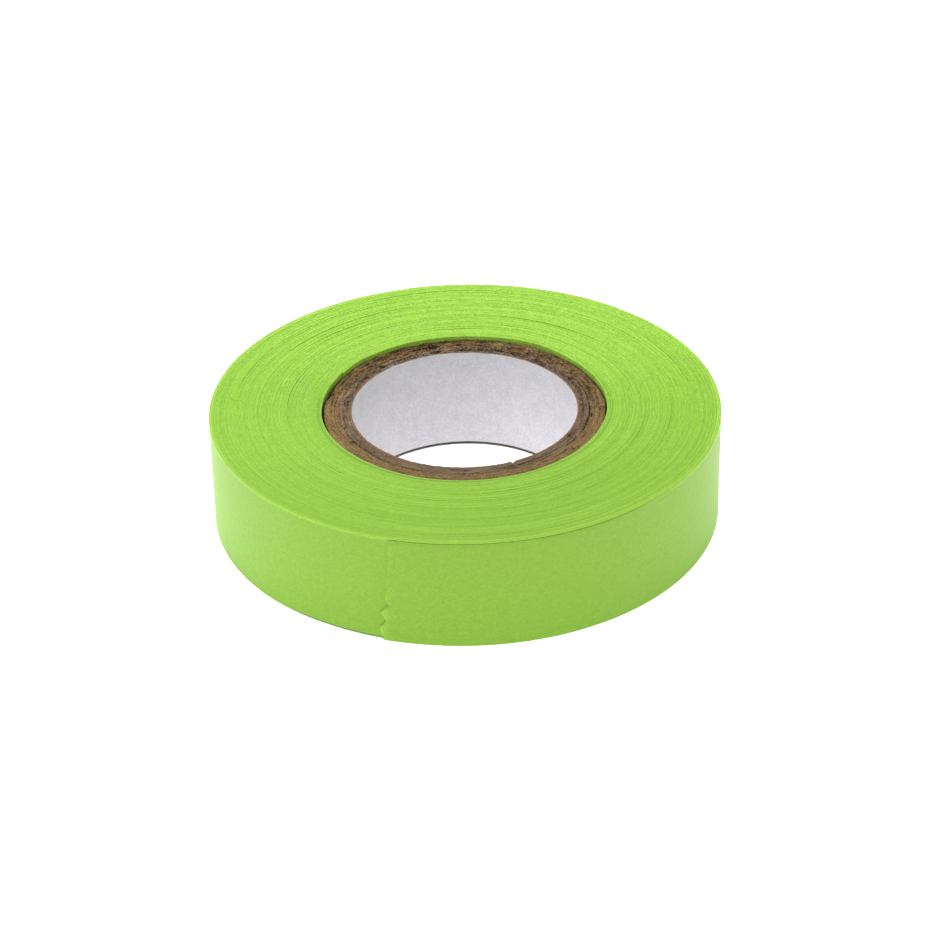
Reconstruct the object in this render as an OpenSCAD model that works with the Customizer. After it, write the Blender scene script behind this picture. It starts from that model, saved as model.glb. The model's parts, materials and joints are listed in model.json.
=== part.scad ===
// Roll of half-inch paper marking tape on a one-inch fibreboard core.
// +Z runs along the roll's axis, and z = 0 is the plane that the roll rests on.
// Azimuths are degrees counter-clockwise from +X, seen from above.
// The strip is wound outwards in the clockwise direction.

/* [Roll] */
// Outside diameter of the full roll
roll_d = 57.9; // [50:0.1:70]
// Width of the tape
tape_w = 12.7; // [10:0.1:20]
// Whole turns of tape, not counting the part turn at the end
whole_turns = 89; // [60:1:100]
// How much lower the last turn sits than the rest of the roll
last_turn_drop = 0.28; // [0.1:0.01:0.5]
// Azimuth of the cut start of the tape, against the core
start_az = 150.8; // [0:0.1:359]
// Azimuth of the torn end of the tape, on the outside
end_az = 252.5; // [0:0.1:359]

/* [Core] */
// Diameter of the spindle bore
bore_d = 25.5; // [24:0.1:28]
// Outside diameter of the core
core_d = 31.75; // [30:0.05:34]
// Thickness of the white paper that lines the bore
liner_t = 0.2; // [0.1:0.05:0.4]
// Height of the core's lower end above the resting plane
core_z0 = 0.25; // [0:0.01:0.5]
// Length of the core, cut a little shorter than the roll is wide
core_h = 12.22; // [10:0.01:12.6]
// Width of the butt joint where a ply's edges meet
seam_w = 0.12; // [0.05:0.01:0.3]
// Lean of each butt joint from the axis
seam_lean = 32; // [0:1:40]

/* [Loose tail] */
// Number of hinged segments
tail_segments = 7; // [7:1:7]
// Arc that each segment spans
segment_deg = 12; // [8:1:14]
// Share of the tape's thickness that is adhesive
adhesive_share = 0.3; // [0.25:0.05:0.4]
// Clearance under the tail, and between its segments
tail_gap = 0.01; // [0.005:0.001:0.015]

/* [Torn edge] */
// Number of teeth that the dispenser's blade left
teeth = 6; // [3:1:6]
// Distance from tooth to tooth across the tape
tooth_pitch = 1.93; // [1.6:0.01:2.1]
// Length of the lowest tooth
tooth_low = 0.9; // [0.4:0.1:1.2]
// Length of the highest tooth
tooth_high = 0.3; // [0.1:0.1:0.6]
// How far the tear leans from straight across, so that the top edge is shorter
tear_lean = 3.4; // [0:0.1:6]

/* [Hidden] */

$fn = 180;

// Radii of the wound strip
roll_r = roll_d / 2;
core_r = core_d / 2;
bore_r = bore_d / 2;
part_turn = (start_az - end_az + 360) / 360;
tape_t = (roll_r - core_r) / (whole_turns + part_turn + 1);

// Heights
pack_z0 = last_turn_drop;
far = 2 * roll_r;

// Plies of the core, from the bore outwards
plies = 5;
ply_t = (core_r - bore_r - liner_t) / plies;
// Azimuth of each seam at the core's upper end: the liner's, then plies 1 to 5
seam_az = [294, 48, 134, 209, 322, 166];

// Loose tail
tail_root_az = end_az - 0.5 + tail_segments * segment_deg;
paper_t = tape_t * (1 - adhesive_share);
gap_deg = tail_gap / roll_r * 180 / PI;
// Angle trimmed off the strip's start, where the second turn climbs over it
start_trim = 0.3;
// Distance of the lowest tooth's tip from the tape's lower edge
first_tip = 1.5;

// Colours
lime = [0.58, 0.79, 0.30];
adhesive_tint = [0.80, 0.88, 0.62];
liner_white = [0.86, 0.85, 0.87];
board_grey = [0.42, 0.36, 0.31];
board_brown = [0.55, 0.43, 0.33];

// Unit direction at azimuth a
function dir(a) = [cos(a), sin(a)];

// Length of the tooth at share f of the tape's width
function tooth_len(f) = tooth_low + (tooth_high - tooth_low) * f;

// Half of the plane, from azimuth a round to a + 180
module half_plane(a) {
    rotate(a) translate([-far, 0]) square([2 * far, 2 * far]);
}

// Slice of the plane between two azimuths that are less than 180 apart
module slice(a0, a1) {
    steps = ceil((a1 - a0) / 45);
    ring = [for (i = [0 : steps]) far * dir(a0 + (a1 - a0) * i / steps)];
    polygon(concat([[0, 0]], ring));
}

// Area inside the strip's outer face, a given depth below the roll's surface.
// Two half circles, one of them half a thickness off centre, make one turn of
// the spiral: they meet in a smooth line opposite the tape's end, and in a step
// of one thickness at the end itself.
module inside_outer(depth) {
    intersection() {
        circle(r = roll_r - depth);
        half_plane(end_az);
    }
    intersection() {
        translate(tape_t / 2 * dir(end_az + 180)) circle(r = roll_r - tape_t / 2 - depth);
        half_plane(end_az + 180);
    }
}

// Area inside the strip's inner face, a given height above the core, made in
// the same way with its step at the tape's start
module inside_inner(height) {
    intersection() {
        circle(r = core_r + height);
        half_plane(start_az - 180);
    }
    intersection() {
        translate(tape_t / 2 * dir(start_az)) circle(r = core_r + tape_t / 2 + height);
        half_plane(start_az);
    }
}

// One ply of the core: a ring with a leaning butt joint that starts at azimuth
// az of the upper end
module ply(r0, r1, az) {
    translate([0, 0, core_z0]) difference() {
        linear_extrude(core_h) difference() {
            circle(r = r1);
            circle(r = r0);
        }
        rotate([0, 0, az]) translate([r0, 0, core_h])
            rotate([seam_lean, 0, 0]) cube([core_r, seam_w, 3 * core_h], center = true);
    }
}

module core_liner() {
    color(liner_white) ply(bore_r, bore_r + liner_t, seam_az[0]);
}

// Plies 1 to 5; the outer ones are the browner board
module core_ply(i) {
    r0 = bore_r + liner_t + (i - 1) * ply_t;
    shade = i < 3 ? board_grey : board_brown;
    color(shade) ply(r0, r0 + ply_t, seam_az[i]);
}

// The turn that is stuck to the core, with its cut start
module tape_first_turn() {
    color(lime) translate([0, 0, pack_z0]) linear_extrude(tape_w) difference() {
        inside_inner(tape_t);
        inside_inner(0);
        slice(start_az - start_trim, start_az + start_trim);
    }
}

// The turns between the first and the last
module tape_pack() {
    color(lime) translate([0, 0, pack_z0]) linear_extrude(tape_w) difference() {
        inside_outer(tape_t);
        inside_inner(tape_t);
    }
}

// The last turn as far as the loose tail
module tape_outer_turn() {
    color(lime) linear_extrude(tape_w) difference() {
        inside_outer(0);
        inside_outer(tape_t);
        slice(end_az, tail_root_az);
    }
}

// A layer of tail segment i, between two radii. Segment 1 is next to the roll.
module tail_arc(i, r0, r1) {
    a1 = tail_root_az - (i - 1) * segment_deg;
    linear_extrude(tape_w) intersection() {
        difference() {
            circle(r = r1);
            circle(r = r0);
        }
        slice(a1 - segment_deg + gap_deg / 2, a1 - gap_deg / 2);
    }
}

// A point of the tear at height y, x past its line, moved back by the lean
function torn_point(x, y) = [y * tan(tear_lean) - x, y];

// The area of the last segment, laid out flat: x runs back along the strip
// from the torn edge and y across it
module torn_outline(back) {
    edge = [for (i = [0 : teeth - 1], side = [0, 1])
        side == 0 ? torn_point(tooth_len(i / (teeth - 1)), first_tip + tooth_pitch * i)
                  : torn_point(0, first_tip + tooth_pitch * (i + 0.5))];
    corners = [torn_point(0, tape_w), [back, tape_w]];
    polygon(concat([[back, 0], torn_point(tooth_low / 4, 0)], edge, corners));
}

// The same layer of the last segment, with the torn edge
module tail_tip(r0, r1) {
    a1 = tail_root_az - (tail_segments - 1) * segment_deg - gap_deg / 2;
    intersection() {
        linear_extrude(tape_w) intersection() {
            difference() {
                circle(r = r1);
                circle(r = r0);
            }
            slice(a1 - 2 * segment_deg, a1);
        }
        rotate([0, 0, end_az]) rotate([90, 0, 90]) linear_extrude(far) torn_outline(roll_r / 2);
    }
}

// The printed side of the tail
module tail_paper(i) {
    color(lime) if (i < tail_segments) {
        tail_arc(i, roll_r - paper_t, roll_r);
    } else {
        tail_tip(roll_r - paper_t, roll_r);
    }
}

// The sticky side of the tail, which stays just clear of the turn below it
module tail_adhesive(i) {
    r0 = roll_r - tape_t + tail_gap;
    color(adhesive_tint) if (i < tail_segments) {
        tail_arc(i, r0, roll_r - paper_t);
    } else {
        tail_tip(r0, roll_r - paper_t);
    }
}

core_liner();
core_ply(1);  // core_ply_1
core_ply(2);  // core_ply_2
core_ply(3);  // core_ply_3
core_ply(4);  // core_ply_4
core_ply(5);  // core_ply_5
tape_first_turn();
tape_pack();
tape_outer_turn();
tail_paper(1);  // tail_paper_1
tail_paper(2);  // tail_paper_2
tail_paper(3);  // tail_paper_3
tail_paper(4);  // tail_paper_4
tail_paper(5);  // tail_paper_5
tail_paper(6);  // tail_paper_6
tail_paper(7);  // tail_paper_7
tail_adhesive(1);  // tail_adhesive_1
tail_adhesive(2);  // tail_adhesive_2
tail_adhesive(3);  // tail_adhesive_3
tail_adhesive(4);  // tail_adhesive_4
tail_adhesive(5);  // tail_adhesive_5
tail_adhesive(6);  // tail_adhesive_6
tail_adhesive(7);  // tail_adhesive_7
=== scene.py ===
"""Roll of lime green paper marking tape on a fibreboard core, lying flat.

Shapes are worked out in millimetres, with azimuths in degrees counter-clockwise
from +X, and become metres where a mesh is made. The strip is wound clockwise
outwards, so along it the azimuth falls and the radius grows.
"""

import json
import math

import bpy
import numpy as np
from mathutils import Matrix, Vector


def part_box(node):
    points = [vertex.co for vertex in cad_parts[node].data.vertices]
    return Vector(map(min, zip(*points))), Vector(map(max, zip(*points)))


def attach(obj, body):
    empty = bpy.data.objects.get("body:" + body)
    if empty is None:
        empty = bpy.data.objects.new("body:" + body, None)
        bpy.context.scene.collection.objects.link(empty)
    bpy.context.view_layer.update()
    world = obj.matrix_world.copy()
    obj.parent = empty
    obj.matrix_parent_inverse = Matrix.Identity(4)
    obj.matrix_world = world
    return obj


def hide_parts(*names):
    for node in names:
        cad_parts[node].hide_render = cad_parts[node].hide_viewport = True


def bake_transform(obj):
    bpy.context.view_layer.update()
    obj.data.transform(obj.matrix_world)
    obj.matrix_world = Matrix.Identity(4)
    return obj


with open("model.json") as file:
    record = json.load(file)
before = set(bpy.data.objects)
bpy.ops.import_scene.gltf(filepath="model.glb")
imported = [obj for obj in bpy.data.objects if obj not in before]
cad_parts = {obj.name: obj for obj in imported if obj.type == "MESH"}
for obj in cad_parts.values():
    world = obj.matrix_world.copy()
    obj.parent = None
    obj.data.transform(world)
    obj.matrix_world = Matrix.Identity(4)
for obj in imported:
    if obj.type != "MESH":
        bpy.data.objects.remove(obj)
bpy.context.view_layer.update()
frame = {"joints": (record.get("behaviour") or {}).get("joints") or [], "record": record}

MM = 0.001

# ---- What the frame says ----------------------------------------------------


def node_box(node):
    """Lowest and highest corner of a CAD node, in millimetres."""
    low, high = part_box(node)
    return np.array(low) / MM, np.array(high) / MM


def outer_radius(node):
    return round(float(node_box(node)[1][0]), 2)


def bore_radius():
    mounts = {m["name"]: m for m in frame["record"]["mounts"]}
    return mounts["spindle_bore"]["dims"]["r_mm"]


HINGES = [np.array(j["pos_m"][:2]) / MM for j in frame["joints"]]
HINGE_AZ = [math.degrees(math.atan2(y, x)) % 360 for x, y in HINGES]
SEGMENT = HINGE_AZ[0] - HINGE_AZ[1]
ROLL_R = math.hypot(*HINGES[0])
CORE_R = outer_radius("core_ply_5")
LINER_R = outer_radius("core_liner")
BORE_R = bore_radius()
CORE_LOW, CORE_HIGH = (float(corner[2]) for corner in node_box("core_liner"))
PACK_LOW, PACK_HIGH = (float(corner[2]) for corner in node_box("tape_pack"))
TAIL_LOW, TAIL_HIGH = (float(corner[2]) for corner in node_box("tail_paper_1"))

# ---- The wound strip --------------------------------------------------------

START_AZ = 150.8                 # the strip's cut start, against the core
END_AZ = 252.5                   # its torn end
WHOLE_TURNS = 89
STATIONS = 177                   # per turn, so that both ends fall on a station
PART_TURN = (START_AZ - END_AZ) % 360 / 360
TAPE_T = (ROLL_R - CORE_R) / (WHOLE_TURNS + PART_TURN + 1)
PAPER_T = 0.7 * TAPE_T
WOUND_TURNS = WHOLE_TURNS - 1 + PART_TURN    # turns below the last one
WOUND_STATIONS = round(WOUND_TURNS * STATIONS) - 1
TAIL_ROOT_AZ = HINGE_AZ[0] + SEGMENT / 2     # where the tail leaves the roll


def smooth(x):
    """Smooth step from 0 at x = 0 to 1 at x = 1."""
    x = np.clip(x, 0, 1)
    return x * x * (3 - 2 * x)


def bump_at(x, centre, half_width):
    """Smooth bump, 1 at the centre and 0 past the half width."""
    return smooth(1 - np.abs(x - centre) / half_width)


def angle_from(az, centre):
    """Signed difference between azimuths, from -180 to 180."""
    return (np.asarray(az) - centre + 180) % 360 - 180


def near_side(az):
    """1 on the side of the roll towards -Y, and 0 on the far side."""
    return smooth(0.5 - 0.9 * np.sin(np.radians(az)))


def noise_1d(x, seed):
    """Smooth random values from -1 to 1, a new one at each whole x."""
    lattice = np.random.default_rng(seed).uniform(-1, 1, 4096)
    cell = np.floor(x).astype(int)
    w = smooth(x - cell)
    return lattice[cell % 4096] * (1 - w) + lattice[(cell + 1) % 4096] * w


def noise_2d(x, y, seed, period):
    """Smooth random values from -1 to 1 on a grid, which repeats along x."""
    lattice = np.random.default_rng(seed).uniform(-1, 1, (period, 512))
    cx, cy = np.floor(x).astype(int), np.floor(y).astype(int)
    wx, wy = smooth(x - cx), smooth(y - cy)
    x0, x1, y0, y1 = cx % period, (cx + 1) % period, cy % 512, (cy + 1) % 512
    near = lattice[x0, y0] * (1 - wx) + lattice[x1, y0] * wx
    far = lattice[x0, y1] * (1 - wx) + lattice[x1, y1] * wx
    return near * (1 - wy) + far * wy


def ring_noise(az, r, per_turn, per_mm, seed):
    """noise_2d round a ring: so many cells in a turn and in a millimetre of radius."""
    return noise_2d(np.asarray(az) % 360 / 360 * per_turn, np.asarray(r) * per_mm, seed, per_turn)


# ---- Meshes -----------------------------------------------------------------


def make_mesh(name, points, faces, materials, face_material=None, sharp=50, **attributes):
    """A mesh object from points in millimetres, with a float or vector attribute per point."""
    mesh = bpy.data.meshes.new(name)
    mesh.from_pydata((np.asarray(points, float) * MM).tolist(), [], [list(map(int, f)) for f in faces])
    for material in materials:
        mesh.materials.append(material)
    if face_material is not None:
        mesh.polygons.foreach_set("material_index", np.asarray(face_material, np.int32))
    for key, values in attributes.items():
        values = np.asarray(values, np.float32)
        kind = "FLOAT" if values.ndim == 1 else "FLOAT_VECTOR"
        field = "value" if values.ndim == 1 else "vector"
        mesh.attributes.new(key, kind, "POINT").data.foreach_set(field, values.ravel())
    mesh.validate()
    mesh.shade_smooth()
    mesh.set_sharp_from_angle(angle=math.radians(sharp))
    ob = bpy.data.objects.new(name, mesh)
    bpy.context.scene.collection.objects.link(ob)
    return ob


def polar(az, r, z):
    a = np.radians(az)
    return np.stack(np.broadcast_arrays(r * np.cos(a), r * np.sin(a), z), -1)


def quads(a, b, c, d):
    return np.stack([np.ravel(x) for x in (a, b, c, d)], -1)


# ---- Materials --------------------------------------------------------------


class Shader:
    """A node material with one Principled shader, built up call by call."""

    def __init__(self, name, **values):
        self.material = bpy.data.materials.new(name)
        self.material.use_nodes = True
        self.tree = self.material.node_tree
        self.tree.nodes.clear()
        self.surface = self.add("ShaderNodeBsdfPrincipled", **values)
        output = self.add("ShaderNodeOutputMaterial")
        self.tree.links.new(self.surface.outputs[0], output.inputs["Surface"])

    def add(self, kind, settings=None, **inputs):
        """A node. Inputs are named with underscores for spaces, or i0, i1 and so on by place."""
        node = self.tree.nodes.new(kind)
        for key, value in (settings or {}).items():
            setattr(node, key, value)
        for key, value in inputs.items():
            numbered = key[0] == "i" and key[1:].isdigit()
            socket = node.inputs[int(key[1:]) if numbered else key.replace("_", " ")]
            self.set(socket, value)
        return node

    def set(self, socket, value):
        if isinstance(value, bpy.types.NodeSocket):
            self.tree.links.new(value, socket)
        elif isinstance(value, tuple):
            socket.default_value = value[:len(socket.default_value)]
        else:
            socket.default_value = value

    def attribute(self, name, vector=False):
        node = self.add("ShaderNodeAttribute", {"attribute_name": name})
        return node.outputs["Vector" if vector else "Fac"]

    def math(self, operation, a, b=0.0):
        return self.add("ShaderNodeMath", {"operation": operation}, i0=a, i1=b).outputs[0]

    def stretched(self, vector, scale):
        """The vector times a scale along each axis."""
        node = self.add("ShaderNodeVectorMath", {"operation": "MULTIPLY"}, i0=vector, i1=scale)
        return node.outputs[0]

    def noise(self, vector, scale, detail=2.0, low=0.0, high=1.0):
        """Noise on a vector, mapped to the range from low to high."""
        node = self.add("ShaderNodeTexNoise", Vector=vector, Scale=scale, Detail=detail)
        return self.between(node.outputs["Fac"], 0.25, 0.75, low, high)

    def between(self, value, from_low, from_high, low, high):
        node = self.add("ShaderNodeMapRange", Value=value, From_Min=from_low, From_Max=from_high,
                        To_Min=low, To_Max=high)
        return node.outputs[0]

    def mix(self, share, a, b):
        node = self.add("ShaderNodeMix", {"data_type": "RGBA"}, i0=share, i6=a, i7=b)
        return node.outputs[2]

    def brightened(self, colour, factor):
        """The colour times a factor."""
        node = self.add("ShaderNodeVectorMath", {"operation": "SCALE"}, i0=colour, Scale=factor)
        return node.outputs[0]

    def bump(self, height, distance):
        node = self.add("ShaderNodeBump", Height=height, Distance=distance, Strength=1.0)
        self.set(self.surface.inputs["Normal"], node.outputs[0])


def place(shader):
    """The piece's own coordinates, in metres."""
    return shader.add("ShaderNodeTexCoord").outputs["Object"]


def far_side(shader, near, far):
    """A value that changes across the roll, from its near side (-Y) to its far side (+Y)."""
    along_y = shader.add("ShaderNodeSeparateXYZ", Vector=place(shader)).outputs["Y"]
    return shader.between(along_y, -0.020, 0.020, near, far)


LIME_FACE = (0.226, 0.440, 0.025, 1)
LIME_EDGE = (0.314, 0.623, 0.034, 1)
# Painted shade for grooves, ledges and the tear's notch.
LIME_SHADE = (0.120, 0.300, 0.012, 1)
# Painted light, and pale torn fibres.
LIME_PALE = (0.470, 0.820, 0.085, 1)
GLUE_DARK, GLUE_LIGHT = (0.34, 0.54, 0.12, 1), (0.42, 0.62, 0.18, 1)
# Painted shade in cracks and partings, and dark seams.
BOARD_SHADE_AND_SEAM = (0.018, 0.010, 0.006, 1)
CHIP_WHITE = (0.55, 0.53, 0.50, 1)
LINER_WHITE = (0.620, 0.612, 0.632, 1)
# Painted shadow for the liner's lower end.
LINER_SHADOW = (0.030, 0.018, 0.008, 1)
KRAFT_DARK, KRAFT_LIGHT = (0.20, 0.085, 0.030, 1), (0.42, 0.22, 0.09, 1)
KRAFT_GREY = (0.20, 0.17, 0.14, 1)


def tape_face():
    """The printed side of the strip: satin, faintly grained paper."""
    s = Shader("tape_face", IOR=1.42)
    along = s.attribute("strip", vector=True)
    grain = s.noise(s.stretched(along, (0.7, 1.0, 1.0)), 4.0, 3.0)
    blotches = s.noise(along, 1.4, 2.0)
    tone = s.math("ADD", s.between(grain, 0, 1, 0.89, 1.11), s.between(blotches, 0, 1, -0.05, 0.05))
    # Paler with a painted highlight along the upper edge and on standing teeth, and with pale torn fibres.
    colour = s.mix(s.attribute("frayed"), LIME_FACE, LIME_PALE)
    # Darker with painted shade under the lowered edge and at the notch.
    colour = s.mix(s.attribute("cleft"), colour, LIME_SHADE)
    # Painted light: paler towards the lower edge, as if lit from the floor.
    height = s.add("ShaderNodeSeparateXYZ", Vector=place(s)).outputs["Z"]
    tone = s.math("MULTIPLY", tone, s.between(height, TAIL_LOW * MM, TAIL_HIGH * MM, 1.05, 0.95))
    s.set(s.surface.inputs["Base Color"], s.brightened(colour, tone))
    s.set(s.surface.inputs["Roughness"], s.between(grain, 0, 1, 0.46, 0.60))
    s.bump(s.math("ADD", grain, s.math("MULTIPLY", blotches, 0.5)), 0.00001)
    return s.material


def tape_edge():
    """The slit edges of the turns: soft, uneven paper, with painted shade where a turn lies deeper and
    painted light at the rim, on the far side and on shaded walls.
    """
    s = Shader("tape_edge", IOR=1.45, Specular_IOR_Level=0.35, Roughness=0.6)
    along = s.attribute("strip", vector=True)
    dashes = s.noise(s.stretched(along, (0.6, 0.0, 0.0)), 1.0, 4.0)
    mottle = s.noise(place(s), 900.0, 3.0)
    specks = s.noise(place(s), 5200.0, 2.0)
    lines = s.math("ADD", s.between(dashes, 0, 1, -0.11, 0.11), s.between(mottle, 0, 1, -0.04, 0.04))
    grit = s.math("ADD", lines, s.between(specks, 0, 1, -0.20, 0.20))
    from_middle = s.add("ShaderNodeVectorMath", {"operation": "LENGTH"}, i0=place(s)).outputs["Value"]
    rings = s.noise(from_middle, 700.0, 2.0, 0.96, 1.04)
    tone = s.math("ADD", s.math("MULTIPLY", grit, far_side(s, 0.45, 1.35)), rings)
    # Paler with painted light, and darker with painted shade.
    colour = s.mix(s.attribute("pale"), LIME_EDGE, LIME_PALE)
    colour = s.mix(s.attribute("cleft"), colour, LIME_SHADE)
    s.set(s.surface.inputs["Base Color"], s.brightened(colour, tone))
    s.bump(s.math("ADD", specks, dashes), 0.00003)
    return s.material


def tape_back():
    """The sticky side of the strip: paler, with a soft shine."""
    s = Shader("tape_back", IOR=1.47)
    along = s.attribute("strip", vector=True)
    smears = s.noise(s.stretched(along, (0.5, 1.2, 1.0)), 1.6, 4.0)
    s.set(s.surface.inputs["Base Color"], s.mix(smears, GLUE_DARK, GLUE_LIGHT))
    s.set(s.surface.inputs["Roughness"], s.between(smears, 0, 1, 0.22, 0.40))
    s.bump(smears, 0.00001)
    return s.material


def board(name, dark, light, warm):
    """Cut fibreboard: short fibres laid round the core, with torn and stained spots, dark seams, painted
    shade in cracks and partings, a painted shadow beside the tape and painted light on the near side.
    """
    s = Shader(name, IOR=1.4, Specular_IOR_Level=0.2, Roughness=0.85)
    laid = s.attribute("lay", vector=True)
    fibres = s.noise(s.stretched(laid, (1.5, 4.8, 2.5)), 1.0, 5.0)
    clumps = s.noise(s.stretched(laid, (0.5, 1.5, 1.0)), 1.0, 3.0)
    stains = s.noise(laid, 0.4, 2.0)
    grit = s.noise(laid, 4.5, 3.0)
    colour = s.mix(fibres, dark, light)
    colour = s.mix(s.between(stains, 0, 1, 0.0, 0.8), colour, warm)
    # Darker with painted shade in cracks and partings, a painted shadow beside the tape, and dark seams.
    colour = s.mix(s.attribute("cleft"), colour, BOARD_SHADE_AND_SEAM)
    colour = s.mix(s.attribute("chip"), colour, CHIP_WHITE)
    uneven = s.math("ADD", s.between(clumps, 0, 1, -0.28, 0.28), s.between(grit, 0, 1, -0.40, 0.40))
    uneven = s.math("MULTIPLY", uneven, far_side(s, 0.7, 2.7))
    # Lighter with painted light on the near side, and round one patch.
    tone = s.math("ADD", s.math("ADD", uneven, 1.0), s.attribute("worn"))
    s.set(s.surface.inputs["Base Color"], s.brightened(colour, tone))
    s.bump(s.math("ADD", fibres, grit), 0.00007)
    return s.material


def liner_face():
    """White paper with a faint lavender cast, soft cloudy mottling, painted light towards +X and a painted
    shadow at its lower end.
    """
    s = Shader("liner_face", IOR=1.45, Specular_IOR_Level=0.3, Roughness=0.6)
    laid = s.attribute("lay", vector=True)
    clouds = s.noise(laid, 0.7, 4.0)
    grain = s.noise(laid, 3.6, 4.0)
    tone = s.math("ADD", s.between(clouds, 0, 1, 0.93, 1.07), s.between(grain, 0, 1, -0.13, 0.13))
    axes = s.add("ShaderNodeSeparateXYZ", Vector=place(s)).outputs
    # Painted light: lighter towards +X, where the wall faces the left lamp.
    tone = s.math("MULTIPLY", tone, s.between(axes["X"], 0.0, BORE_R * MM, 1.0, 1.11))
    # A painted shadow at the lower end, where the gap under the core lies in shade.
    foot_shadow = s.between(axes["Z"], (CORE_LOW + 0.12) * MM, (CORE_LOW + 0.20) * MM, 1.0, 0.0)
    colour = s.mix(foot_shadow, LINER_WHITE, LINER_SHADOW)
    s.set(s.surface.inputs["Base Color"], s.brightened(colour, tone))
    s.bump(s.math("ADD", clouds, s.math("MULTIPLY", grain, 0.5)), 0.00004)
    return s.material


def kraft_edge():
    """The liner's cut edge, where the brown middle of the paper shows, greyer in places."""
    s = Shader("kraft_edge", IOR=1.4, Specular_IOR_Level=0.2, Roughness=0.85)
    laid = s.attribute("lay", vector=True)
    fibres = s.noise(s.stretched(laid, (1.6, 6.0, 4.0)), 1.0, 3.0)
    kraft = s.mix(fibres, KRAFT_DARK, KRAFT_LIGHT)
    s.set(s.surface.inputs["Base Color"], s.mix(s.attribute("greyed"), kraft, KRAFT_GREY))
    s.bump(fibres, 0.00003)
    return s.material


TAPE_FACE, TAPE_EDGE, TAPE_BACK = tape_face(), tape_edge(), tape_back()
BOARD_INNER = board("board_inner", (0.080, 0.052, 0.030, 1), (0.28, 0.19, 0.115, 1), (0.18, 0.125, 0.08, 1))
BOARD_OUTER = board("board_outer", (0.085, 0.053, 0.024, 1), (0.27, 0.18, 0.080, 1), (0.21, 0.13, 0.05, 1))
LINER_FACE, KRAFT_EDGE = liner_face(), kraft_edge()

# ---- The winding ------------------------------------------------------------

CRESCENT_GAP = 0.30              # widest gap between the core and the first turn
CRESCENT_FROM, CRESCENT_WIDEST = 230.0, 185.0
SLACK = [(5, 40, 0.25), (60, 24, 0.24), (140, 14, 0.14)]     # smaller gaps: azimuth, half span and width
EASING = 0.8                     # how much of that shape each turn passes on to the next
GROOVE = 0.05                    # depth of the groove between turns
LEDGE_FADES = (300.0, 328.0)     # where the last turn's upper edge comes back up
LEDGE_LIFT = 0.12                # how much higher than in the CAD the lowered edge is
USUAL_DROP = 0.01                # how far the turns' edges lie inside the CAD's planes
LIP_TURNS, LIP_SINKS = 3.0, 0.27    # how many innermost turns lie lower on the near side, and how much
RIM_WIDTH = 0.6                  # how far in from the roll's surface the winding is rounded
BARED = 0.15                     # how far below the core's end the first turn looks like a cut edge
SHOULDER = 0.17                  # where a turn's edge rounds off, as a share of its thickness

# Stretches of turns that lie deep: radius, azimuth, span in degrees and change of height.
UNEVEN_TURNS = [
    (23.9, 125, 70, -0.11), (22.8, 130, 50, -0.08), (20.9, 60, 60, -0.09), (18.8, 70, 34, -0.08),
    (17.7, 92, 28, -0.07), (25.7, 22, 46, -0.08), (25.9, 160, 30, -0.07), (27.2, 100, 50, -0.06),
    (24.6, 40, 40, -0.05), (21.7, 200, 60, -0.05), (19.9, 175, 70, -0.06), (26.4, 215, 60, -0.04),
    (24.2, 285, 70, -0.04), (22.0, 265, 60, -0.05), (19.4, 300, 70, -0.05), (17.2, 245, 50, -0.05),
    (26.9, 310, 60, -0.04), (20.4, 340, 50, -0.07), (23.3, 350, 40, -0.06), (18.2, 20, 50, -0.06),
]


def azimuth(turns):
    return START_AZ - 360 * turns


def first_turn_gap(part):
    """Gap between the core and the first turn, over the turn. It ends one thickness
    up, where the strip climbs over its own start."""
    opens = (START_AZ + 360 - CRESCENT_FROM) / 360
    widest = (START_AZ + 360 - CRESCENT_WIDEST) / 360
    rise = CRESCENT_GAP * smooth((part - opens) / (widest - opens))
    fall = (CRESCENT_GAP - TAPE_T) * smooth((part - widest) / (1 - widest))
    slack = sum(gap * bump_at(angle_from(azimuth(part), az), 0, span) for az, span, gap in SLACK)
    return rise - fall + slack


def inner_face(turns):
    """Radius of the strip's inner face after so many turns."""
    whole = np.floor(turns)
    part = turns - whole
    return CORE_R + TAPE_T * turns + (first_turn_gap(part) - part * TAPE_T) * EASING ** whole


def strip_length(turns):
    """Length of strip wound so far."""
    return 2 * math.pi * turns * (CORE_R + TAPE_T * (turns + 1) / 2)


def turn_height(turns, seed):
    """How far the strip's edge stands above its usual plane."""
    r, az = inner_face(turns), azimuth(turns)
    height = 0.016 * noise_1d(turns * 4.7, seed) + 0.014 * noise_1d(turns * 13.1, seed + 1)
    height *= 1.3 - 0.8 * near_side(az)
    height += 0.030 * ring_noise(az, r, 5, 1.6, seed + 2)
    for r_here, az_here, span, change in UNEVEN_TURNS:
        # The one stretch of strip that passes there.
        passes = round((r_here - CORE_R) / TAPE_T - (START_AZ - az_here) / 360) + (START_AZ - az_here) / 360
        height += change * (1 - 0.6 * near_side(az)) * bump_at(turns, passes, span / 720)
    return height


def ledge(az):
    """1 where the last turn lies lower than the rest, and 0 where it is flush with them."""
    return 1 - smooth((az - LEDGE_FADES[0]) / (LEDGE_FADES[1] - LEDGE_FADES[0]))


def above_ledge(az):
    """1 where the winding's rim looks out over the last turn's lowered edge."""
    from_end = (az - END_AZ) % 360
    return ledge(END_AZ + from_end) * smooth(from_end / 5)


def rim_drop(az, below_surface):
    """How far the winding rounds off at its rim, so far below the roll's surface."""
    deepest = 0.03 + 0.06 * near_side(az) + 0.06 * above_ledge(az)
    return deepest * np.clip(1 - below_surface / RIM_WIDTH, 0, 1) ** 2


def lip_drop(turns):
    """How far the innermost turns lie below the rest, at their upper edge."""
    in_lip = 1 - smooth((turns - LIP_TURNS + 0.4) / 0.8)
    return LIP_SINKS * near_side(azimuth(turns)) * in_lip


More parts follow.
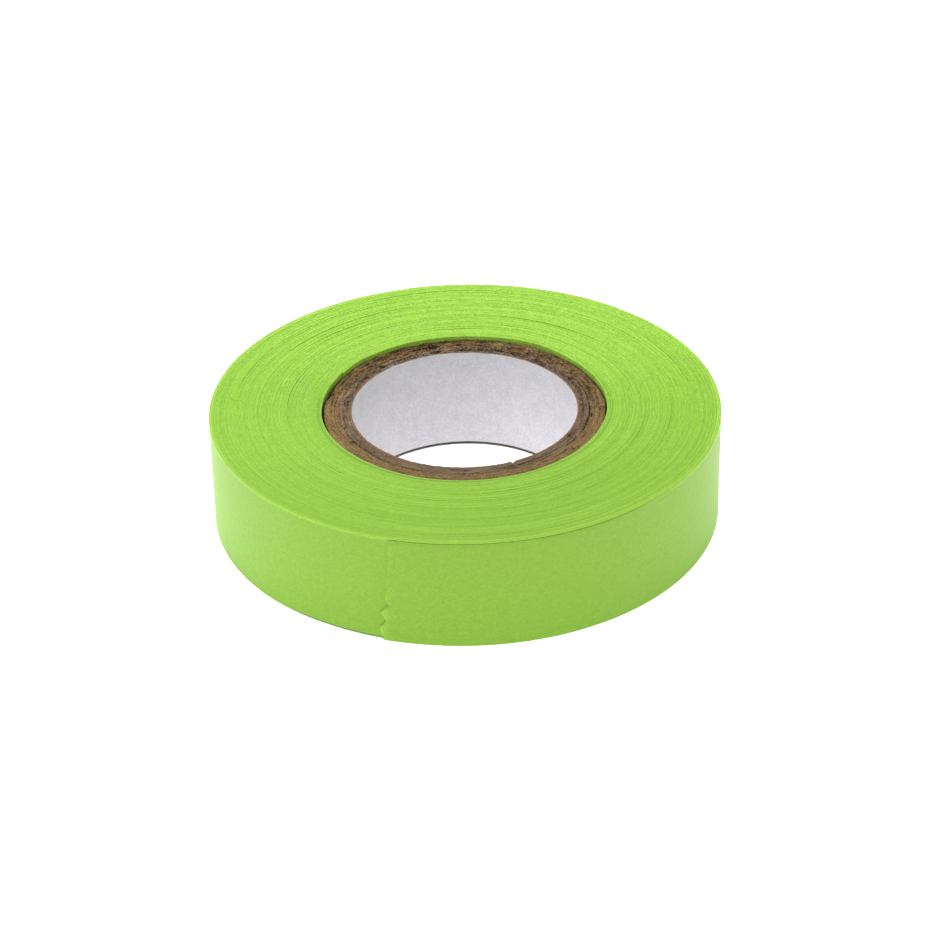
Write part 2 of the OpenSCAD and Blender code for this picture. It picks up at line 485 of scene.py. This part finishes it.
def winding():
    """Every turn below the last one, as one closed body whose two ends show each turn."""
    last = WOUND_STATIONS
    line = np.arange(last + STATIONS + 1)           # the lines between turns
    body = np.arange(last + 1)                      # the strip itself
    u_line, u_body = line / STATIONS, body / STATIONS
    has_outer, has_inner = line <= last, line >= STATIONS
    r_line = inner_face(u_line)

    def end_face(seed, plane, side):
        """Heights of the lines and of the strip's edge, on the upper or lower side."""
        below_surface = (WOUND_TURNS + 1 - u_body) * TAPE_T
        strip = turn_height(u_body, seed) - USUAL_DROP - rim_drop(azimuth(u_body), below_surface)
        strip -= lip_drop(u_body) if side > 0 else 0
        absent = 9.0    # higher than any edge, so that only the other neighbour counts
        outer = np.where(has_outer, strip[np.minimum(line, last)], absent)
        inner = np.where(has_inner, strip[np.clip(line - STATIONS, 0, last)], absent)
        groove = GROOVE * (0.7 + 0.5 * noise_1d(u_line * 6.3, seed + 3))
        groove *= 1.2 - 0.6 * near_side(azimuth(u_line))
        border = np.minimum(outer, inner) - np.where(has_outer & has_inner, groove, 0.0)
        return plane + side * border, plane + side * strip

    top_line, top_body = end_face(11, PACK_HIGH, 1)
    low_line, low_body = end_face(21, PACK_LOW, -1)
    r_out = r_line[body + STATIONS]
    r_in = r_line[body]

    def across(share):
        return r_in + (r_out - r_in) * share

    az_line, az_body = azimuth(u_line), azimuth(u_body)
    parts = [
        polar(az_line, r_line, top_line),
        polar(az_body, across(SHOULDER), top_body),
        polar(az_body, across(1 - SHOULDER), top_body),
        polar(az_line, r_line, low_line),
        polar(az_body, across(0.5), low_body),
        polar(az_line[:STATIONS + 1], r_line[:STATIONS + 1], CORE_HIGH - BARED),
    ]
    starts = np.cumsum([0] + [len(p) for p in parts])
    top, near, far, low, mid, wall = starts[:6]
    # Stations along the whole strip, over its first turn and over its last one.
    j, i, o = np.arange(last), np.arange(STATIONS), np.arange(last, last + STATIONS)
    groups = [
        (quads(top + j, top + j + 1, near + j + 1, near + j), 0),
        (quads(near + j, near + j + 1, far + j + 1, far + j), 0),
        (quads(far + j, far + j + 1, top + j + 1 + STATIONS, top + j + STATIONS), 0),
        (quads(low + j, mid + j, mid + j + 1, low + j + 1), 0),
        (quads(mid + j, low + j + STATIONS, low + j + 1 + STATIONS, mid + j + 1), 0),
        (quads(top + i, wall + i, wall + i + 1, top + i + 1), 0),
        (quads(wall + i, low + i, low + i + 1, wall + i + 1), 2),
        (quads(top + o, top + o + 1, low + o + 1, low + o), 1),
    ]
    caps = [
        [top, near, far, top + STATIONS, wall + STATIONS, low + STATIONS, mid, low, wall],
        [top + last, low + last, mid + last, low + last + STATIONS, top + last + STATIONS,
         far + last, near + last],
    ]
    faces = [f for group, _ in groups for f in group] + caps
    material = np.concatenate([np.full(len(g), m) for g, m in groups] + [[0, 0]])

    points = np.concatenate(parts)
    u_wall = u_line[:STATIONS + 1]
    turns = np.concatenate([u_line, u_body, u_body, u_line, u_body, u_wall])
    between = (has_outer & has_inner).astype(float)
    flat = np.zeros(len(body))
    grooved = np.concatenate([between, flat, flat, between, flat, flat[:STATIONS + 1]])
    half_way = (PACK_LOW + PACK_HIGH) / 2
    depth = np.where(points[:, 2] > half_way, PACK_HIGH - points[:, 2], points[:, 2] - PACK_LOW)
    from_core, from_rim = turns * TAPE_T, (WOUND_TURNS + 1 - turns) * TAPE_T
    at_rim = smooth(1.3 - from_rim / (0.45 + 0.3 * above_ledge(azimuth(turns))))
    nearness = near_side(azimuth(turns))
    # Painted shade in the grooves, more so in deep ones, and a painted shadow where the lip's step shades
    # the next turns.
    cleft = grooved * np.clip(0.20 + 3.0 * (depth - 0.08), 0, 0.9) * (1 - at_rim) * (1 - 0.5 * nearness)
    cleft = np.maximum(cleft, 0.62 * nearness * bump_at(turns, LIP_TURNS + 1.4, 2.4))
    cleft[wall:] = 0.0
    # Pale beside the core; a painted highlight at the rim; painted light on the far side and on the first
    # turn's bared inner side, which lies in shade.
    pale = np.maximum(0.15 * smooth(1 - from_core / 0.45), 0.72 * at_rim)
    pale = np.maximum(pale, 0.35 * smooth(1.3 * np.sin(np.radians(azimuth(turns)))))
    pale[:STATIONS + 1] = 1.0 - 0.7 * nearness[:STATIONS + 1]
    pale[wall:] = 1.0
    strip = np.stack([strip_length(turns), points[:, 2], turns * 0], -1)
    ob = make_mesh("winding", points, faces, [TAPE_EDGE, TAPE_FACE, TAPE_BACK], material,
                   cleft=cleft, pale=pale, strip=strip)
    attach(ob, "roll")
    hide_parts("tape_first_turn", "tape_pack")


# ---- The last turn and the tail ---------------------------------------------

BEVEL = 0.03
STEP = 0.75                      # degrees between stations
RAISED = 0.30                    # how much higher the last turn's lower edge is where it starts
RAISED_OVER = (12.0, 34.0)       # degrees past that start between which it comes down
TEAR_SLANT = 0.06                # how far the torn end leans back for each millimetre up
LAST_TURN_FROM = END_AZ + 360 + 360 / STATIONS    # the station where the winding's body ends
TOOTH_PITCH = 1.93               # from tooth to tooth, going up the torn end
FIRST_TIP, NOTCH_SHADOW_AT = 1.50, 4.42    # how far up it the lowest tooth and the notch with its painted shadow are
# The teeth, going up: length, and how far each stands off the roll.
TEETH = [(0.66, 0.11), (0.58, 0.10), (0.26, 0.04), (0.28, 0.03), (0.14, 0.02), (0.10, 0.01)]
PAST_END = 0.22                  # how far past the strip's last station the notches lie


def outer_face(az):
    """Radius of the last turn's outer face. The azimuth counts on past 360 from the torn end."""
    return ROLL_R - TAPE_T * (az - END_AZ) / 360


def lower_edge(az):
    """Where the last turn starts, it is as high as the turns under it, then it steps down."""
    behind = END_AZ + 360 - az
    return TAIL_LOW + RAISED * (1 - smooth((behind - RAISED_OVER[0]) / (RAISED_OVER[1] - RAISED_OVER[0])))


def upper_edge(az):
    flush = PACK_HIGH - USUAL_DROP - rim_drop(az, TAPE_T) + 0.01
    lowered = TAIL_HIGH + LEDGE_LIFT
    return flush + (lowered - flush) * ledge(az) + 0.012 * noise_1d(az / 9, 31)


def undulation(az, z):
    """The paper isn't quite flat."""
    return 0.008 * ring_noise(az, z, 24, 0.2, 33) + 0.003 * ring_noise(az, z, 90, 0.5, 34)


def layer(name, az, depth_out, depth_in, heights, materials, torn=None):
    """A layer of the outermost turn, between two depths below its outer face.

    az holds the stations, falling along the strip, and heights the levels as shares of
    the width. torn gives the end's shape at each level: its distance past the last station,
    how far it stands off, its pale fibres with a painted highlight, and its painted shadow.
    """
    az = np.asarray(az, float)[:, None]
    share = np.asarray(heights, float)[None, :]
    low, high = lower_edge(az), upper_edge(az)
    z = low + BEVEL + (high - low - 2 * BEVEL) * share
    along = (az[0] - az) / (az[0] - az[-1])
    reach, lift, fibres_and_glint, notch_shadow = np.zeros((4, len(heights))) if torn is None else torn
    az_at = az - along * np.degrees(reach[None, :] / ROLL_R)
    to_end = (az_at - az_at[-1:]) * math.radians(ROLL_R)
    stands = lift[None, :] * smooth(1 - to_end / 1.6)
    face = outer_face(az_at) + undulation(az_at, z) + stands

    def ring(depth, inset, column=None, plane=None):
        pick = slice(None) if column is None else [column]
        height = z[:, pick] if plane is None else plane
        return polar(az_at[:, pick], face[:, pick] - depth + inset, height)

    n = len(heights)
    outer, inner = ring(depth_out, 0), ring(depth_in, 0)[:, ::-1]
    loop = np.concatenate([
        outer,
        ring(depth_out, -BEVEL, n - 1, high), ring(depth_in, 0.2 * BEVEL, n - 1, high),
        inner,
        ring(depth_in, BEVEL, 0, low), ring(depth_out, -BEVEL, 0, low),
    ], 1)
    rows, around = loop.shape[:2]
    index = np.arange(rows * around).reshape(rows, around)
    nxt = np.roll(index, -1, 1)
    faces = quads(index[:-1], nxt[:-1], nxt[1:], index[1:])
    column = np.tile(np.arange(around), rows - 1)
    edge = ((column >= n - 1) & (column <= n + 1)) | (column >= 2 * n + 1)
    back = (column > n + 1) & (column < 2 * n + 1)
    material = np.where(edge, 1, np.where(back, 2, 0))

    def cap(row):
        """Closes an end: a quad for each level, and one for each rounded edge."""
        out, back_of = row[:n], row[n + 2:2 * n + 2][::-1]
        sides = quads(out[:-1], out[1:], back_of[1:], back_of[:-1]).tolist()
        sides.append([out[-1], row[n], row[n + 1], back_of[-1]])
        sides.append([row[2 * n + 3], out[0], back_of[0], row[2 * n + 2]])
        return sides

    ends = cap(index[-1]) + [f[::-1] for f in cap(index[0])]
    points = loop.reshape(-1, 3)
    az_flat = np.repeat(az_at.mean(1), around)
    turns = (START_AZ - az_flat + 360 * (WHOLE_TURNS + 1)) / 360
    column = np.tile(np.arange(around), rows)
    on_back = (column >= n + 1) & (column <= 2 * n + 2)
    from_top = np.repeat(upper_edge(az[:, 0]), around) - points[:, 2]
    lowered = np.repeat(ledge(az[:, 0]), around)
    # Painted shade below the winding's rim, where the edge is lowered.
    cleft = 0.24 * lowered * smooth(1 - from_top / 0.55)
    # Edges pale, a painted highlight like the winding's rim.
    pale = np.where(on_back, 0.0, 0.75)
    # A painted highlight along the upper edge where it is flush.
    frayed = 0.35 * (1 - lowered) * smooth(1 - from_top / 0.35)
    if torn is not None:
        # Pale fibres with a painted highlight where the teeth stand off, and a painted shadow at the notch.
        on_face = index[:, :n].ravel()
        frayed[on_face] += (fibres_and_glint * smooth(1 - to_end / 0.9)).ravel()
        cleft[on_face] += (notch_shadow * smooth(1 - to_end / 0.45)).ravel()
        pale[-around:] = 0.6
    strip = np.stack([strip_length(turns), points[:, 2], turns * 0], -1)
    return make_mesh(name, points, faces.tolist() + ends, materials,
                     np.concatenate([material, np.full(len(ends), 1)]), 40,
                     cleft=cleft, pale=pale, frayed=frayed, strip=strip)


def stations(start, end):
    """Azimuths along a length of the strip, STEP apart or nearly so."""
    count = max(2, round((start - end) / STEP) + 1)
    return np.linspace(start, end, count)


def torn_edge():
    """Levels across the tape, and the torn end's shape at each of them."""
    width = TAIL_HIGH - TAIL_LOW - 2 * BEVEL
    corners = [(0.0, 0.17, 0.04)]
    for i, (length, stands) in enumerate(TEETH):
        tip = FIRST_TIP + TOOTH_PITCH * i
        corners += [(tip, length, stands), (tip + TOOTH_PITCH * 0.52, 0.0, 0.01)]
    corners.append((width, 0.12, 0.0))
    z, reach, stands = np.array(corners).T
    fine = np.unique(np.round(np.concatenate([z, np.arange(0, width, 0.16)]), 4))
    rag = 0.035 * noise_1d(fine / 0.23, 41)
    reach, stands = np.interp(fine, z, reach), np.interp(fine, z, stands)
    # Pale fibres, with a painted highlight where a tooth stands off.
    fibres_and_glint = np.clip(3.6 * stands + 0.12 * noise_1d(fine / 0.5, 42), 0, 0.6)
    # A painted shadow at the notch.
    notch_shadow = 0.95 * bump_at(fine, NOTCH_SHADOW_AT, 0.4)
    return fine / width, (PAST_END + reach + rag - TEAR_SLANT * fine, stands, fibres_and_glint, notch_shadow)


def strip_levels():
    """Levels across the tape for an untorn piece, closer together near its upper edge."""
    return np.concatenate([np.linspace(0, 0.875, 8), [0.94, 0.965, 0.985, 1.0]])


def last_turn():
    ob = layer("last_turn", stations(LAST_TURN_FROM, TAIL_ROOT_AZ), 0, TAPE_T - 0.004,
               strip_levels(), [TAPE_FACE, TAPE_EDGE, TAPE_BACK])
    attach(ob, "roll")
    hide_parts("tape_outer_turn")


def tail():
    """The strip that peels: each piece spans one hinge, and the last one ends in the torn edge."""
    levels = strip_levels()
    torn_levels, torn = torn_edge()
    coats = [
        ("paper", 0, PAPER_T, [TAPE_FACE, TAPE_EDGE, TAPE_BACK]),
        ("adhesive", PAPER_T, TAPE_T - 0.006, [TAPE_BACK, TAPE_BACK, TAPE_BACK]),
    ]
    for coat, depth_out, depth_in, materials in coats:
        for i, hinge_az in enumerate([*HINGE_AZ, None], 1):
            name = f"peel_{coat}_{i}"
            start = TAIL_ROOT_AZ - SEGMENT * (i - 1)
            if hinge_az is None:
                ob = layer(name, stations(start, END_AZ), depth_out, depth_in, torn_levels,
                           materials, torn)
                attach(ob, f"tail_{i - 1}")
            else:
                end = start - SEGMENT
                ob = layer(name, stations(start, end), depth_out, depth_in, levels, materials)
                ends = [Vector(polar(a, ROLL_R, 0) * MM) for a in (start, end)]
                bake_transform(ob)
            if i > 1:
                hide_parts(f"tail_{coat}_{i - 1}")


# ---- The core ---------------------------------------------------------------

CORE_STATIONS = 720

# Cracks in the board's end: radius, azimuth, span in degrees, width and depth.
CRACKS = [
    (15.25, 128, 60, 0.13, 0.30), (14.75, 105, 46, 0.12, 0.28), (15.45, 95, 40, 0.10, 0.22),
    (14.20, 120, 50, 0.10, 0.20), (13.60, 75, 60, 0.12, 0.24), (14.95, 55, 50, 0.12, 0.26),
    (13.75, 25, 40, 0.12, 0.28), (14.10, 352, 44, 0.14, 0.30), (13.45, 5, 50, 0.10, 0.22),
    (14.60, 20, 40, 0.10, 0.20), (13.70, 190, 60, 0.13, 0.26), (14.05, 215, 40, 0.12, 0.24),
    (13.30, 165, 50, 0.10, 0.20), (15.10, 175, 30, 0.10, 0.18), (14.30, 240, 40, 0.10, 0.16),
    (13.75, 300, 50, 0.12, 0.22), (14.70, 320, 40, 0.10, 0.16), (15.20, 10, 60, 0.10, 0.20),
]
# Pits in the board's end: radius, azimuth, half length round the core, half width and depth.
PITS = [(13.6, 134, 0.5, 0.22, 0.45), (14.3, 209, 0.25, 0.2, 0.25), (14.0, 196, 0.3, 0.16, 0.2),
        (13.2, 331, 0.5, 0.2, 0.2), (13.4, 270, 0.4, 0.2, 0.15), (14.4, 352, 0.7, 0.2, 0.25)]
FLAKE = ((15.3, 171.0), (14.8, 163.0))       # radius and azimuth of a slanting crack's two ends
BROKEN_CORNER = (164.0, 11.0)                # azimuth and half span of the board's broken outer corner
CHIP = (13.02, 130.0)                        # radius and azimuth of a chip of white paper
SEAMS = {1: 48, 2: 134, 3: 209, 4: 322, 5: 166}    # azimuth of each ply's seam, at its upper end
NOTCH_AZ = 294.0                             # the liner's seam, at its upper end
SEAM_LEAN = math.tan(math.radians(32))
PLIES = 5


def crack_depths(az, r):
    """How deep the cracks and pits of the board's upper end are, in millimetres."""
    depth = np.zeros(np.broadcast(az, r).shape)
    for n, (r0, az0, span, width, deep) in enumerate(CRACKS):
        wander = 0.06 * noise_1d(az / 4.0, 60 + n) + 0.03 * noise_1d(az / 1.3, 90 + n)
        ragged = 0.75 + 0.35 * noise_1d(az / 2.1, 120 + n)
        shape = bump_at(angle_from(az, az0), 0, span / 2) ** 0.5 * ragged
        depth = np.maximum(depth, deep * shape * smooth(1 - np.abs(r - r0 - wander) / width))
    for r0, az0, length, width, deep in PITS:
        along = angle_from(az, az0) * math.radians(r0) / length
        shape = 1 - np.hypot(along, (r - r0) / width)
        depth = np.maximum(depth, deep * smooth(1.4 * shape))
    (r0, az0), (r1, az1) = FLAKE
    share = (r0 - r) / (r0 - r1)
    off = angle_from(az, az0 + (az1 - az0) * share) * math.radians(15)
    inside = smooth(share * 8) * smooth((1 - share) * 4)
    depth = np.maximum(depth, 0.3 * inside * smooth(1 - np.abs(off) / 0.16))
    broken = bump_at(angle_from(az, BROKEN_CORNER[0]), 0, BROKEN_CORNER[1])
    return np.maximum(depth, 0.5 * broken * smooth((r - CORE_R + 0.32) / 0.25))


def board_height(az, r):
    """The upper end of the board, below the core's true end."""
    rough = 0.050 * ring_noise(az, r, 90, 3.2, 51) + 0.050 * ring_noise(az, r, 240, 6.0, 52)
    rough += 0.030 * ring_noise(az, r, 600, 9.0, 53) + 0.045 * ring_noise(az, r, 14, 1.1, 54)
    return -0.03 + rough * (2.0 - 1.2 * near_side(az)) - crack_depths(az, r)


def tube(r0, r1, columns, heights, seam_az, wall_levels=2, wavy=0.0):
    """A ring of the core with shaped ends and a leaning seam that starts at seam_az above.

    A ring with wavy walls has its seam on the inner one only.
    """
    az = np.arange(CORE_STATIONS) * 360 / CORE_STATIONS
    r = np.linspace(r0, r1, columns)
    grid_az, grid_r = np.meshgrid(az, r, indexing="ij")
    upper, lower = heights(grid_az, grid_r)

    def seam(az_at, below):
        """1 on the seam, so far below the upper end."""
        off = angle_from(az_at, seam_az) * math.radians(r0) - SEAM_LEAN * below
        return smooth(1 - np.abs(off) / 0.16)

    at_top, at_bottom = seam(grid_az, 0 * grid_r), seam(grid_az, CORE_HIGH - CORE_LOW + 0 * grid_r)
    upper, lower = upper - 0.22 * at_top, lower + 0.22 * at_bottom
    levels = np.linspace(0, 1, wall_levels + 2)[1:-1]

    def wall(column, r_wall, seam_side):
        """Levels of a wall, from the top down. The seam goes outwards at 1 and inwards at -1."""
        z = upper[:, [column]] + (lower - upper)[:, [column]] * levels
        gap = seam(az[:, None], CORE_HIGH - z)
        shape = wavy * ring_noise(az[:, None], z, 40, 0.35, 71)
        return polar(az[:, None], r_wall + seam_side * (0.12 * gap) + shape, z)

    loop = np.concatenate([
        polar(grid_az, grid_r, upper),
        wall(-1, r1, -1 if wavy == 0 else 0),
        polar(grid_az, grid_r, lower)[:, ::-1],
        wall(0, r0, 1)[:, ::-1],
    ], 1)
    around = loop.shape[1]
    index = np.arange(CORE_STATIONS * around).reshape(CORE_STATIONS, around)
    ahead, beside = np.roll(index, -1, 0), np.roll(index, -1, 1)
    faces = quads(index, beside, np.roll(ahead, -1, 1), ahead)
    points = loop.reshape(-1, 3)
    column = np.tile(np.arange(around), CORE_STATIONS)
    return points, faces, column, np.repeat(az, around)


def board_ply(i, r0, r1):
    def heights(az, r):
        step = 0.03 * noise_1d(np.array([i * 7.3]), 56)[0]
        edge = np.minimum(r - r0, r1 - r)
        parting = (0.07 - 0.05 * near_side(az)) * smooth(1 - edge / 0.08)
        upper = CORE_HIGH + board_height(az, r) + step - parting
        lower = CORE_LOW + 0.04 + 0.03 * ring_noise(az, r, 120, 3.0, 57)
        return upper, lower

    inner = i < 3
    material = BOARD_INNER if inner else BOARD_OUTER
    points, faces, _, az = tube(r0, r1, 7, heights, SEAMS[i])
    r = np.hypot(points[:, 0], points[:, 1])
    top = points[:, 2] > (CORE_LOW + CORE_HIGH) / 2
    seam = smooth(1 - np.abs(angle_from(az, SEAMS[i]) * math.radians(r0)) / 0.16)
    # Painted shade in cracks, darker where deeper, and dark seams.
    cleft = np.clip(np.maximum(crack_depths(az, r) * 3.0, 0.8 * seam), 0, 0.92) * top
    # Painted shade in the partings between plies.
    parting_shade = (0.35 - 0.28 * near_side(az)) * smooth(1 - np.minimum(r - r0, r1 - r) / 0.06)
    cleft = np.maximum(cleft, parting_shade * (0.5 + 0.5 * ring_noise(az, r, 60, 0.5, 58)))
    # Painted shadow of the tape's inner wall on the far side.
    tape_shadow = 0.45 * smooth((r - CORE_R + 0.5) / 0.4) * (1 - near_side(az))
    cleft = np.maximum(cleft, tape_shadow * (0.8 + 0.4 * ring_noise(az, r, 50, 0.5, 59)))
    chip_r, chip_az = CHIP
    off_chip = np.hypot(angle_from(az, chip_az) * math.radians(13) / 0.42, (r - chip_r) / 0.2)
    chip = smooth(1.6 * (1 - off_chip))
    # Painted light: lighter on the near side, most next to the tape, and lighter round 178 degrees.
    worn = near_side(az) * (0.04 + 0.34 * smooth((r - LINER_R) / (CORE_R - LINER_R)))
    worn += 0.22 * bump_at(angle_from(az, 178), 0, 40)
    lay = np.stack([az * math.radians(14.3), r, points[:, 2]], -1)
    ob = make_mesh(f"board_{i}", points, faces, [material], None, 60,
                   cleft=cleft, chip=chip * top, worn=worn, lay=lay)
    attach(ob, "roll")
    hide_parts(f"core_ply_{i}")


def bore_paper():
    """The liner, white inside, with its cut edge showing at the ends and a nick at the seam."""
    def heights(az, r):
        rag = 0.03 * ring_noise(az, r, 150, 1.0, 73) + 0.02 * ring_noise(az, r, 500, 1.0, 74)
        nick = 0.24 * smooth(1 - np.abs(angle_from(az, NOTCH_AZ) * math.radians(BORE_R)) / 0.26)
        proud = 0.10 * bump_at(angle_from(az, CHIP[1]), 0, 2.2)
        rounded = 0.03 * smooth(1 - np.minimum(r - BORE_R, LINER_R - r) / 0.05)
        return CORE_HIGH + 0.02 + rag - nick + proud - rounded, CORE_LOW + 0.02 + 0.5 * rag

    columns, rows = 5, 26
    points, faces, column, az = tube(BORE_R, LINER_R, columns, heights, NOTCH_AZ, rows, 0.003)
    lower_end = columns + rows
    on_end = (column < columns - 1) | ((column >= lower_end) & (column < lower_end + columns - 1))
    r = np.hypot(points[:, 0], points[:, 1])
    lay = np.stack([az * math.radians(BORE_R), r, points[:, 2]], -1)
    greyed = (1 - near_side(az)) * (0.5 + 0.5 * ring_noise(az, r, 60, 1.0, 75))
    ob = make_mesh("bore_paper", points, faces, [LINER_FACE, KRAFT_EDGE], on_end.astype(int), 50,
                   lay=lay, greyed=greyed)
    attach(ob, "roll")
    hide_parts("core_liner")


def core():
    edges = np.linspace(LINER_R, CORE_R, PLIES + 1)
    for i in range(PLIES):
        board_ply(i + 1, edges[i], edges[i + 1])
    bore_paper()


# ---- Floor, light and camera ------------------------------------------------


def area_light(name, place_mm, target_mm, size_mm, radiance):
    """A white soft box that faces a point. Its power grows with its area."""
    width, height = (side * MM for side in size_mm)
    data = bpy.data.lights.new(name, "AREA")
    data.shape, data.size, data.size_y = "RECTANGLE", width, height
    data.energy = radiance * math.pi * width * height
    ob = bpy.data.objects.new(name, data)
    ob.location = Vector(place_mm) * MM
    ob.rotation_euler = (Vector(target_mm) - Vector(place_mm)).to_track_quat("-Z", "Y").to_euler()
    bpy.context.scene.collection.objects.link(ob)


def floor():
    """A flat white floor with a lamp of its own, which reaches the floor in the bore."""
    s = Shader("floor_white", Roughness=0.9, Specular_IOR_Level=0.1)
    soft = s.noise(place(s), 3.0, 2.0, 0.985, 1.0)
    s.set(s.surface.inputs["Base Color"], s.brightened((0.92, 0.92, 0.92, 1), soft))
    half, z = 2500, -0.02    # just under the roll, so that no two faces coincide
    points = [(-half, -half, z), (half, -half, z), (half, half, z), (-half, half, z)]
    ob = make_mesh("floor", points, [[0, 1, 2, 3]], [s.material])
    sun = bpy.data.lights.new("floor_lamp", "SUN")
    sun.energy, sun.angle = 3.95, math.radians(2.0)
    lamp = bpy.data.objects.new("floor_lamp", sun)
    lamp.rotation_euler = (math.radians(28), 0, 0)
    bpy.context.scene.collection.objects.link(lamp)
    only_floor = bpy.data.collections.new("only_floor")
    only_floor.objects.link(ob)
    lamp.light_linking.receiver_collection = only_floor


def lights():
    """A white world, a strong soft box behind the roll, and weaker ones at its left and front."""
    world = bpy.data.worlds.new("studio")
    world.use_nodes = True
    world.node_tree.nodes["Background"].inputs["Color"].default_value = (1, 1, 1, 1)
    world.node_tree.nodes["Background"].inputs["Strength"].default_value = 0.45
    bpy.context.scene.world = world
    area_light("key", (-20, 150, 170), (0, 0, 6), (160, 120), 6.7)
    area_light("left", (-330, -60, 300), (0, 0, 6), (240, 240), 2.1)
    area_light("front", (40, -260, 330), (0, 0, 6), (300, 200), 0.4)


def camera():
    """The view that the picture has, with the roll a little above the middle."""
    elevation, tilt, distance, focal_length = math.radians(31.29), math.radians(-1.081), 330.4, 112.17
    back = Vector((0, -math.cos(elevation), math.sin(elevation)))
    right = Vector((1, 0, 0))
    up = back.cross(right)
    level = (right, up)
    right = math.cos(tilt) * level[0] + math.sin(tilt) * level[1]
    up = math.cos(tilt) * level[1] - math.sin(tilt) * level[0]
    middle = Vector((0, 0, 6.475))
    eye = middle + back * distance
    aim_below, aim_left = 1.325, 0.053
    aim = middle - aim_below * up - aim_left * right
    back = (eye - aim).normalized()
    right = up.cross(back).normalized()
    up = back.cross(right)
    data = bpy.data.cameras.new("camera")
    data.lens, data.sensor_width = focal_length, 36
    data.clip_start, data.clip_end = 0.01, 50
    ob = bpy.data.objects.new("camera", data)
    turn = Matrix((right, up, back)).transposed().to_4x4()
    ob.matrix_world = Matrix.Translation(eye * MM) @ turn
    bpy.context.scene.collection.objects.link(ob)
    bpy.context.scene.camera = ob
    bpy.context.scene.view_settings.view_transform = "Standard"


camera()
winding()
last_turn()
tail()
core()
floor()
lights()

bpy.context.view_layer.update()
